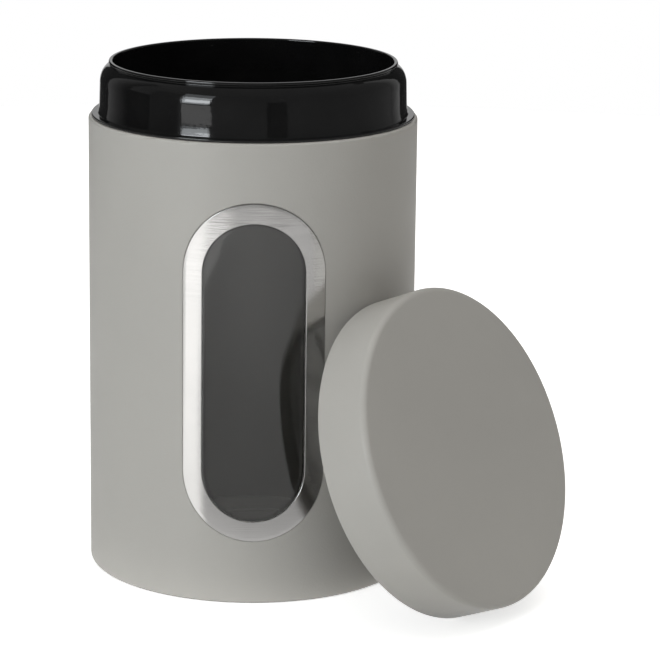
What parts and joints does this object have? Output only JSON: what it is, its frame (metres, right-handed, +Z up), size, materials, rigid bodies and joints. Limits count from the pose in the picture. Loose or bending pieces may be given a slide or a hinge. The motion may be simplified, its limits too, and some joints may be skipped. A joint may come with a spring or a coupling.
{
  "type": "storage canister",
  "caption": "Round metal storage canister with a window in its wall, a plastic neck and a lift-off lid that leans against it.",
  "frame": {"origin": "on the table, in the middle of the ground that the canister and the leaning lid cover together; the canister's axis stands at x -24.9 mm, y +24.8 mm", "axes": "+Z up along the canister's axis, -Y the way the window faces, +X towards the side where the lid leans"},
  "size_m": [0.1598, 0.1595, 0.1718],
  "materials": {
    "grey_paint": "matte warm grey powder coat on sheet steel",
    "base_metal": "bare tinned sheet steel",
    "neck_plastic": "glossy black moulded plastic",
    "frame_steel": "bright stainless steel",
    "clear_pane": "clear glossy plastic",
    "seal_rubber": "black rubber",
    "inner_plastic": "satin black moulded plastic",
    "liner_plastic": "satin pale grey moulded plastic",
    "silicone": "milky silicone"
  },
  "bodies": {
    "canister": {"body_shell": "grey_paint", "base_plate": "base_metal", "neck_collar": "neck_plastic", "window_frame": "frame_steel", "window_pane": "clear_pane", "window_seal": "seal_rubber", "window_retainer": "inner_plastic"},
    "lid": {"lid_shell": "grey_paint", "lid_liner": "liner_plastic", "lid_seal": "silicone"}
  },
  "joints": [
    {"name": "lid_lift", "type": "slide", "parent": "canister", "child": "lid", "axis": [0, 0, 1], "range_m": [0, 0.2]}
  ]
}
